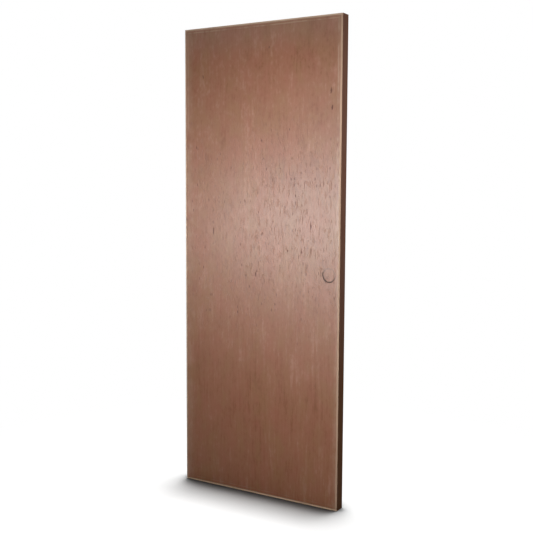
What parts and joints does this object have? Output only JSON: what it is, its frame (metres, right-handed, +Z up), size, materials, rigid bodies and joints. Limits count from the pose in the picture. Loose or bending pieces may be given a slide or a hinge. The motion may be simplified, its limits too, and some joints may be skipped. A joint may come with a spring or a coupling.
{
  "type": "flush door",
  "caption": "Plain flush door leaf: plywood skins over a timber ladder frame with lock blocks, sanded eased arrises and bare reddish-brown veneer.",
  "frame": {"origin": "on the hinge stile's outer edge, at the foot of the leaf, midway through its thickness", "axes": "+X across the leaf from the hinge edge to the lock edge, -Y out of the front face, +Z up"},
  "size_m": [0.8, 0.054, 2.1],
  "materials": {
    "face_veneer": "bare sanded reddish-brown veneer, vertical grain",
    "ply": "pale cross ply, sanded open at the arrises",
    "inner_veneer": "reddish-brown inner veneer, unsanded",
    "stile": "dark brown planed timber, grain along the height",
    "rail": "dark brown planed timber, grain across the leaf",
    "rib": "sawn pale timber",
    "block": "sawn pale timber"
  },
  "bodies": {
    "root": {"front_face_veneer": "face_veneer", "front_cross_ply": "ply", "front_inner_veneer": "inner_veneer", "back_face_veneer": "face_veneer", "back_cross_ply": "ply", "back_inner_veneer": "inner_veneer", "hinge_stile": "stile", "lock_stile": "stile", "top_rail": "rail", "bottom_rail": "rail", "lock_block": "block", "spare_lock_block": "block", "rib_01": "rib", "rib_02": "rib", "rib_03": "rib", "rib_04": "rib", "rib_05": "rib", "rib_06": "rib", "rib_07": "rib", "rib_08": "rib", "rib_09": "rib", "rib_10": "rib", "rib_11": "rib", "rib_12": "rib"}
  },
  "joints": []
}
